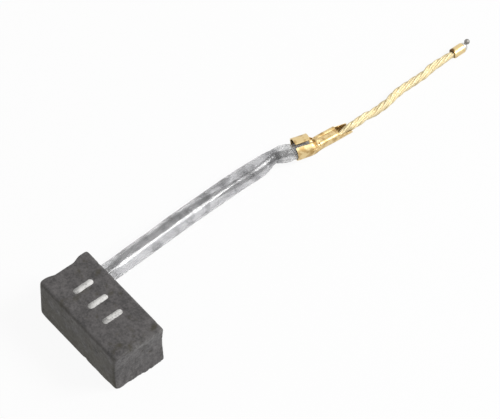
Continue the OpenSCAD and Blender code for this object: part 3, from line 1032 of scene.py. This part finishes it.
class CARBON_BRUSH_OT_stage(bpy.types.Operator):
    """Add the camera, the floor, the pale surround and the lamps"""

    bl_idname = "carbon_brush.stage"
    bl_label = "Stage"

    def execute(self, context):
        stage = context.scene.brush_stage
        self.add_camera(context, stage)
        self.add_floor(context)
        self.add_surround(context, stage)
        self.add_lamp(context, "key", KEY_PLACE, KEY_SIZE, stage.key_power)
        self.add_lamp(context, "fill", FILL_PLACE, FILL_SIZE, stage.fill_power)
        context.scene.view_settings.view_transform = "Standard"
        return {"FINISHED"}

    def add_camera(self, context, stage):
        data = bpy.data.cameras.new("camera")
        data.lens = stage.lens
        data.clip_start, data.clip_end = 0.01, 10
        camera = bpy.data.objects.new("camera", data)
        context.collection.objects.link(camera)
        back = Vector((
            math.sin(stage.azimuth) * math.cos(stage.elevation),
            -math.cos(stage.azimuth) * math.cos(stage.elevation),
            math.sin(stage.elevation),
        ))
        distance = stage.across * data.lens / data.sensor_width
        camera.location = Vector(stage.aim) + back * distance
        camera.rotation_euler = (-back).to_track_quat("-Z", "Y").to_euler()
        context.scene.camera = camera

    def add_floor(self, context):
        mesh = bpy.data.meshes.new("floor")
        corners = [
            (x * FLOOR_HALF, y * FLOOR_HALF, 0) for x, y in ((-1, -1), (1, -1), (1, 1), (-1, 1))
        ]
        mesh.from_pydata(corners, [], [(0, 1, 2, 3)])
        floor = bpy.data.objects.new("floor", mesh)
        context.collection.objects.link(floor)
        material, tree, shader = new_material("pale_floor")
        shader.inputs["Base Color"].default_value = (0.82, 0.82, 0.82, 1)
        shader.inputs["Roughness"].default_value = 0.9
        shader.inputs["Specular IOR Level"].default_value = 0.0
        white = tree.add("ShaderNodeEmission").outputs[0]
        share = tree.math("MULTIPLY", self.seen_directly(tree), FLOOR_WHITE)
        mixed = tree.add("ShaderNodeMixShader", {0: share, 1: shader.outputs[0], 2: white})
        tree.feed(mixed.outputs[0], material.node_tree.nodes["Material Output"].inputs["Surface"])
        mesh.materials.append(material)

    def seen_directly(self, tree):
        """1 for what the camera sees, also in metal or through clear plastic, and 0 for light."""
        path = tree.add("ShaderNodeLightPath").outputs
        seen = tree.math("MAXIMUM", path["Is Camera Ray"], path["Is Glossy Ray"])
        return tree.math("MAXIMUM", seen, path["Is Transmission Ray"])

    def add_surround(self, context, stage):
        world = bpy.data.worlds.new("surround")
        world.use_nodes = True
        context.scene.world = world
        tree = Tree(world.node_tree)
        background = world.node_tree.nodes["Background"]
        background.inputs["Color"].default_value = (1, 1, 1, 1)
        strength = tree.spread(self.seen_directly(tree), 0, 1, stage.ambient, 1.0)
        tree.feed(strength, background.inputs["Strength"])

    def add_lamp(self, context, name, place, size, power):
        data = bpy.data.lights.new(name, "AREA")
        data.shape = "SQUARE"
        data.size = size
        data.energy = power
        lamp = bpy.data.objects.new(name, data)
        context.collection.objects.link(lamp)
        lamp.location = PART_MIDDLE + place
        lamp.rotation_euler = (-place).to_track_quat("-Z", "X").to_euler()


class CARBON_BRUSH_OT_finishes(bpy.types.Operator):
    """Make the shared effects that the finishes are built from"""

    bl_idname = "carbon_brush.finishes"
    bl_label = "Shared Finishes"

    def execute(self, context):
        make_grain_group()
        make_rub_group()
        make_film_group()
        make_strand_group()
        return {"FINISHED"}


class CARBON_BRUSH_OT_lead(bpy.types.Operator):
    """Add the sleeved wire, its clear sleeve and the bare wire"""

    bl_idname = "carbon_brush.lead"
    bl_label = "Lead"

    def execute(self, context):
        settings = context.scene.brush_lead
        lead = Lead(settings)
        shunt, shunt_line = self.add_shunt(settings, lead)
        sleeve = self.add_sleeve(settings, lead)
        tail = self.add_tail(settings, lead)
        return {"FINISHED"}

    def add_shunt(self, settings, lead):
        piece, line = stranded_wire(
            "shunt_strands", lead.shunt_rows(), settings.bundles, settings.shunt_lay,
            seed=1.0, looseness=0.06,
        )
        piece.data.materials.append(strand_material(
            "dulled_strands", settings.shunt_dark, settings.shunt_light,
            count=72.0, metallic=0.55, roughness=0.50,
        ))
        seat_piece(piece, "tinned_copper", "shunt_wire")
        return piece, line

    def add_tail(self, settings, lead):
        low, high = (np.array(corner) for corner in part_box("end_ferrule"))
        middle = (low + high) / 2
        rear = np.array([middle[0], low[1], middle[2]])
        rows = lead.tail_rows(rear, high[1] - low[1])
        piece, _ = stranded_wire(
            "bare_strands", rows, settings.bundles - 1, settings.tail_lay,
            seed=2.0, looseness=0.26,
        )
        piece.data.materials.append(strand_material(
            "bare_strands", settings.tail_dark, settings.tail_light,
            count=84.0, metallic=0.75, roughness=0.50,
        ))
        seat_piece(piece, "bare_strand", "tail_wire")
        return piece

    def add_sleeve(self, settings, lead):
        line, (outer,), run = smooth_route(lead.sleeve_rows(), SLEEVE_STEP)
        angles = even_angles(SLEEVE_SIDES)
        kink = run[-1] - KINK_BACK
        near_kink = bell(run, kink, KINK_REACH)
        toward = np.maximum(np.cos(angles - KINK_SIDE), 0) ** 2
        dent = near_kink[:, None] * toward[None, :] * KINK_DEPTH
        creases = near_kink[:, None] * np.sin(run / MM * 9)[:, None] * CREASE_DEPTH
        waviness = (self.ripple(run, angles) - 0.5) * RIPPLE_DEPTH
        outside = outer[:, None] - dent + creases + waviness
        inside = (outer - DRAWN_WALL * lead.wall)[:, None] - 0.4 * dent
        piece = mesh_piece("sleeve", *self.pipe(line, angles, outside, inside, run))
        # Painted shade: the rings round the kink are clouded darker.
        self.mask_rings(piece, "kink_shade", 0.4 * near_kink)
        at_block = ramp(run, 1.69 * MM, 0.39 * MM)
        at_crimp = ramp(run, kink + 1.2 * MM, kink + 1.7 * MM)
        self.mask_rings(piece, "stretched", at_block + 0.9 * at_crimp)
        piece.data.materials.append(sleeve_material(settings))
        seat_piece(piece, "clear_sleeve", "insulating_sleeve")
        return piece

    def ripple(self, run, angles):
        """Slow noise over the sleeve, one row for each ring."""
        ways = [(math.cos(angle) * 1.6, math.sin(angle) * 1.6) for angle in angles]
        return np.array([
            [noise.noise(Vector((x, y, along / MM * 0.55))) for x, y in ways] for along in run
        ])

    def mask_rings(self, piece, name, values):
        """Gives each ring of the sleeve's outside and inside its value of a mask."""
        set_mask(piece.data, name, np.tile(np.repeat(values, SLEEVE_SIDES), 2))

    def pipe(self, line, angles, outside, inside, run):
        """An open pipe with a wall: vertices, faces and texture places."""
        count, around = outside.shape
        outer = rings_round(line, angles, outside)
        inner = rings_round(line, angles, inside)
        verts = np.concatenate([outer.reshape(-1, 3), inner.reshape(-1, 3)])
        shift = count * around
        faces, places = [], []
        for face, spots in tube_quads(run, around):
            faces += [face, tuple(shift + corner for corner in reversed(face))]
            places += [spots, spots[::-1]]
        for ring, order in ((0, -1), (count - 1, 1)):
            for k in range(around):
                n = (k + 1) % around
                a, b = ring * around + k, ring * around + n
                faces.append((a, b, shift + b, shift + a)[::order])
                places.append([(run[ring], k / around)] * 4)
        return verts, faces, places


class CARBON_BRUSH_OT_block(bpy.types.Operator):
    """Add the pressed carbon block, with its pits, chips and running marks"""

    bl_idname = "carbon_brush.block"
    bl_label = "Carbon Block"

    def execute(self, context):
        block = context.scene.brush_block
        piece = fine_copy("carbon_block", "pressed_block", block.step)
        relax(piece, rounds=9)
        self.wear_ends(piece)
        mesh = piece.data
        points, normals = points_of(mesh), normals_of(mesh)
        edge = self.edge_nearness(points)
        at_contact = points[:, 0] > BLOCK_HIGH[0] - 1.2 * MM
        running = ramp(normals[:, 0], 0.8, 0.95) * at_contact
        depth = block.unevenness * hollows(points, 2.4 * MM, seed=1, octaves=2)
        depth += block.grain * hollows(points, 0.28 * MM, seed=2, octaves=3)
        # The second value is painted shade for the pits.
        pits, pit_shading = self.pits(points, block)
        depth += pits + self.chips(points, edge, block)
        depth += running * self.running_marks(points, block)
        points = points - normals * depth[:, None]
        set_points(mesh, np.clip(points, BLOCK_LOW, BLOCK_HIGH))
        # The edge mask is edge wear, plus the painted highlight band on the contact end.
        set_mask(mesh, "edge", 0.25 * edge + self.edge_highlight_band(points))
        set_mask(mesh, "pit_shade", pit_shading)
        set_mask(mesh, "running", running)
        # Painted shade on the front face, more towards the bottom.
        set_mask(mesh, "front_shade", self.front_shade(points, normals))
        mesh.materials.append(carbon_material(block))
        seat_piece(piece, "carbon", "carbon_block")
        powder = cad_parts["copper_tamping"]
        powder.material_slots[0].material = powder_material()
        return {"FINISHED"}

    def wear_ends(self, piece):
        """Rounds the edges of the contact end, most of all at its front corner, and the front
        corner of the spring end."""
        points = points_of(piece.data)
        toe, heel, front = BLOCK_HIGH[0], BLOCK_LOW[0], BLOCK_LOW[1]
        near_toe = ramp(points[:, 0], toe - 2.2 * MM, toe - 1.4 * MM)
        near_heel = ramp(points[:, 0], heel + 1.6 * MM, heel + 1.0 * MM)
        near_front = ramp(points[:, 1], front + 5 * MM, front + 1 * MM)
        relax(piece, rounds=10, weight=near_toe)
        relax(piece, rounds=60, weight=near_toe * near_front)
        relax(piece, rounds=40, weight=near_heel * (near_front > 0.6))

    def edge_highlight_band(self, points):
        """A painted highlight, partly edge wear: the lighter band just below the upper edge of the
        contact end, from 0 to 1.
        """
        below = BLOCK_HIGH[2] - points[:, 2]
        off_front = ramp(points[:, 1] - BLOCK_LOW[1], 1.2 * MM, 4.2 * MM)
        near_toe = points[:, 0] > BLOCK_HIGH[0] - 0.7 * MM
        return bell(below, 0.55 * MM, 0.45 * MM) * off_front * near_toe

    def front_shade(self, points, normals):
        """How much painted shade lies on each point of the front face, in patches and more towards
        the bottom.
        """
        front = ramp(-normals[:, 1], 0.4, 0.8)
        low = 1 - (points[:, 2] - BLOCK_LOW[2]) / BLOCK_SIZE[2]
        patches = 0.6 + 0.6 * lumps(points, 1.6 * MM, seed=8, octaves=3)
        return front * (0.4 + 0.9 * low) * np.clip(patches * 1.6, 0, 1)

    def edge_nearness(self, points):
        """1 on the block's edges, and 0 within its faces."""
        away = np.sort(np.minimum(points - BLOCK_LOW, BLOCK_HIGH - points), axis=1)
        return bell(np.maximum(away[:, 1], 0), 0, 0.32 * MM)

    def pits(self, points, block):
        """Depth of the pits at each point, and how much painted shade each point gets for lying in
        one.
        """
        draw = random.Random(4)
        depth = np.zeros(len(points))
        dark = np.zeros(len(points))
        for _ in range(block.pits):
            centre = points[draw.randrange(len(points))]
            size = draw.uniform(0.10, 0.26) * MM
            away = np.linalg.norm(points - centre, axis=1)
            shape = bell(away, 0, size)
            depth = np.maximum(depth, shape * size * draw.uniform(0.25, 0.45))
            dark = np.maximum(dark, shape)
        return depth, dark

    def chips(self, points, edge, block):
        """Depth of the chips along the edges."""
        draw = random.Random(9)
        depth = np.zeros(len(points))
        candidates = np.flatnonzero(edge > 0.85)
        for _ in range(block.chips):
            centre = points[candidates[draw.randrange(len(candidates))]]
            size = draw.uniform(0.15, 0.42) * MM
            stretch = np.array([draw.uniform(0.6, 1.6) for _ in range(3)])
            away = np.linalg.norm((points - centre) / stretch, axis=1)
            shape = np.exp(-((away / size) ** 4))
            depth = np.maximum(depth, shape * size * draw.uniform(0.12, 0.3))
        return depth

    def running_marks(self, points, block):
        """Depth of the grooves in the contact end, which run the way that the commutator turns."""
        across = points[:, 1] / MM
        broad = np.array([noise.noise(Vector((y * 3.4, 2.0, 5.0))) for y in across])
        fine = np.array([noise.noise(Vector((y * 11, 7.0, 1.0))) for y in across])
        return block.groove_depth * (0.5 + 0.5 * broad + 0.3 * fine)


# How deep the paint lies in the block's upper face
PAINT_DEPTH = 0.04 * MM


class CARBON_BRUSH_OT_marks(bpy.types.Operator):
    """Add the plain painted bars on the block's upper face"""

    bl_idname = "carbon_brush.marks"
    bl_label = "Painted Bars"

    def execute(self, context):
        marks = context.scene.brush_marks
        verts, faces = [], []
        for i in range(marks.count):
            middle = marks.middle + (i - (marks.count - 1) / 2) * marks.pitch
            self.add_bar(verts, faces, middle, marks, i)
        piece = mesh_piece("painted_bars", verts, faces)
        piece.data.materials.append(paint_material(marks, context.scene.brush_block))
        seat_piece(piece, "white_paint")
        return {"FINISHED"}

    def bar_outline(self, marks):
        """The line round a bar with half-round ends, from its middle."""
        half, radius = marks.length / 2 - marks.width / 2, marks.width / 2
        end_steps, side_steps = 14, 12
        outline = []
        for end, sign in ((half, 1), (-half, -1)):
            for k in range(end_steps + 1):
                angle = math.pi * k / end_steps + (0 if sign > 0 else math.pi)
                outline.append((radius * math.cos(angle), end + radius * math.sin(angle)))
            for k in range(1, side_steps):
                outline.append((-sign * radius, end - sign * 2 * half * k / side_steps))
        return outline

    def add_bar(self, verts, faces, middle, marks, seed):
        """A bar with slightly unsteady edges, a film thick, flush with the upper face."""
        outline = self.bar_outline(marks)
        first, count = len(verts), len(outline)
        for z in (BLOCK_HIGH[2], BLOCK_HIGH[2] - PAINT_DEPTH):
            for x, y in outline:
                wobble = 1 + 0.12 * noise.noise(Vector((x / MM * 3, y / MM * 3, seed * 5.0)))
                verts.append((middle + x * wobble, y * (1 + 0.02 * wobble), z))
        faces.append(tuple(range(first, first + count)))
        faces.append(tuple(reversed(range(first + count, first + 2 * count))))
        for k in range(count):
            a, b = first + k, first + (k + 1) % count
            faces.append((a, count + a, count + b, b))


# The sheet over the crimp's neck: its height at its sides, its crest at the grip and how far
# that falls to the barrel, the depths of its dip and its fold, and its thickness
NECK_SIDE = 1.0 * MM
NECK_CREST = 2.15 * MM
NECK_FALL = 0.30 * MM
NECK_DIP = 0.32 * MM
NECK_FOLD = 0.16 * MM
NECK_SHEET = 0.2 * MM


class CARBON_BRUSH_OT_crimp(bpy.types.Operator):
    """Add the crimp splice, with its dents and painted shade in its folds"""

    bl_idname = "carbon_brush.crimp"
    bl_label = "Crimp Splice"

    def execute(self, context):
        crimp = context.scene.brush_crimp
        piece = fine_copy("crimp_splice", "crimped_strip", crimp.step)
        relax(piece, rounds=2)
        mesh = piece.data
        points, normals = points_of(mesh), normals_of(mesh)
        depth = crimp.dents * hollows(points, 0.8 * MM, seed=6, octaves=2)
        depth += 2.5 * crimp.dents * hollows(points, 1.5 * MM, seed=7, octaves=1)
        set_points(mesh, points - normals * depth[:, None])
        # Painted shade: the fold mask darkens the brass where its surface faces another part of
        # itself. The edge mask, its opposite, lightens the open places: partly wear, partly
        # painted light.
        fold = covered(mesh, 0.45 * MM)
        set_mask(mesh, "fold", fold)
        set_mask(mesh, "edge", 0.25 * (1 - fold))
        mesh.materials.append(brass_material(
            "stamped_brass", crimp.brass, crimp.tarnish, crimp.folds, cover=0.44, roughness=0.34,
        ))
        seat_piece(piece, "crimp_brass", "crimp_splice")
        self.add_neck(mesh.materials[0], Lead(context.scene.brush_lead))
        return {"FINISHED"}

    def add_neck(self, brass, lead):
        """The strip's folded-in walls between the grip and the barrel, over the wire."""
        verts, faces = [], []
        rows, columns = 24, 25
        rear_half, front_half = lead.grip_ro * 0.86, lead.barrel_ro * 1.05
        for t in np.linspace(-0.25, 1.25, rows):
            share = min(max(t, 0), 1)
            half = rear_half + share * (front_half - rear_half)
            crest = NECK_CREST - NECK_FALL * share - NECK_DIP * bell(t, 0.55, 0.2)
            fold_at = 0.15 + 0.5 * (t - 0.5)
            for across in np.linspace(-1, 1, columns):
                height = NECK_SIDE + (crest - NECK_SIDE) * (1 - abs(across) ** 2.4)
                height -= NECK_FOLD * bell(across, fold_at, 0.14)
                verts.append(lead.in_barrel(t * NECK_LENGTH, across * half, height))
        for i in range(rows - 1):
            for k in range(columns - 1):
                a = i * columns + k
                faces.append((a, a + 1, a + columns + 1, a + columns))
        piece = mesh_piece("crimped_neck", verts, faces)
        sheet = piece.modifiers.new("sheet", "SOLIDIFY")
        sheet.thickness = NECK_SHEET
        sheet.offset = 0
        for mask, value in (("fold", 0.1), ("edge", 0.4)):
            set_mask(piece.data, mask, np.full(len(verts), value))
        piece.data.materials.append(brass)
        seat_piece(piece, "crimp_brass")


# Spacing of the points on the ferrule and the solder, and how much the ferrule is squeezed
FERRULE_STEP = 0.035 * MM
SOLDER_STEP = 0.03 * MM
FERRULE_SQUEEZE = 0.10


class CARBON_BRUSH_OT_wire_end(bpy.types.Operator):
    """Add the ferrule and the solder at the end of the bare wire"""

    bl_idname = "carbon_brush.wire_end"
    bl_label = "Wire End"

    def execute(self, context):
        crimp = context.scene.brush_crimp
        ferrule = fine_copy("end_ferrule", "squeezed_ferrule", FERRULE_STEP)
        relax(ferrule, rounds=2)
        points = points_of(ferrule.data)
        middle = (points.min(axis=0) + points.max(axis=0)) / 2
        points += (middle - points) * [FERRULE_SQUEEZE, 0, FERRULE_SQUEEZE]
        set_points(ferrule.data, points)
        # The fold mask darkens the ferrule towards its rear end.
        rear = (middle - points) @ [0.25, 0.8, -0.55]
        set_mask(ferrule.data, "fold", ramp(rear, 0.675 * MM, 0.945 * MM))
        set_mask(ferrule.data, "edge", np.zeros(len(points)))
        ferrule.data.materials.append(brass_material(
            "ferrule_brass", crimp.brass, crimp.tarnish, crimp.folds, cover=0.3, roughness=0.32,
        ))
        seat_piece(ferrule, "ferrule_brass", "end_ferrule")
        tip = fine_copy("solder_tip", "solder", SOLDER_STEP)
        relax(tip, rounds=2)
        out = points_of(tip.data)[:, 1]
        set_mask(tip.data, "scorched", (out > out.max() - 0.8 * MM) * 0.8)
        tip.data.materials.append(solder_material())
        seat_piece(tip, "solder", "solder_tip")
        return {"FINISHED"}


class CARBON_BRUSH_PT_panel(bpy.types.Panel):
    """The carbon brush's pieces and sizes"""

    bl_label = "Carbon Brush"
    bl_space_type = "VIEW_3D"
    bl_region_type = "UI"
    bl_category = "Carbon Brush"

    def draw(self, context):
        for group in GROUPS:
            box = self.layout.box()
            settings = getattr(context.scene, group)
            for key in settings.bl_rna.properties.keys():
                if key not in ("rna_type", "name"):
                    box.prop(settings, key)
        for step in STEPS:
            self.layout.operator(step.bl_idname)


STEPS = (
    CARBON_BRUSH_OT_stage,
    CARBON_BRUSH_OT_finishes,
    CARBON_BRUSH_OT_lead,
    CARBON_BRUSH_OT_block,
    CARBON_BRUSH_OT_marks,
    CARBON_BRUSH_OT_crimp,
    CARBON_BRUSH_OT_wire_end,
)
CLASSES = (*GROUPS.values(), *STEPS, CARBON_BRUSH_PT_panel)


def register():
    for cls in CLASSES:
        bpy.utils.register_class(cls)
    for name, group in GROUPS.items():
        setattr(bpy.types.Scene, name, PointerProperty(type=group))


def unregister():
    for name in GROUPS:
        delattr(bpy.types.Scene, name)
    for cls in reversed(CLASSES):
        bpy.utils.unregister_class(cls)


def main():
    register()
    bpy.ops.carbon_brush.stage()
    bpy.ops.carbon_brush.finishes()
    bpy.ops.carbon_brush.lead()
    bpy.ops.carbon_brush.block()
    bpy.ops.carbon_brush.marks()
    bpy.ops.carbon_brush.crimp()
    bpy.ops.carbon_brush.wire_end()


if __name__ == "__main__":
    main()
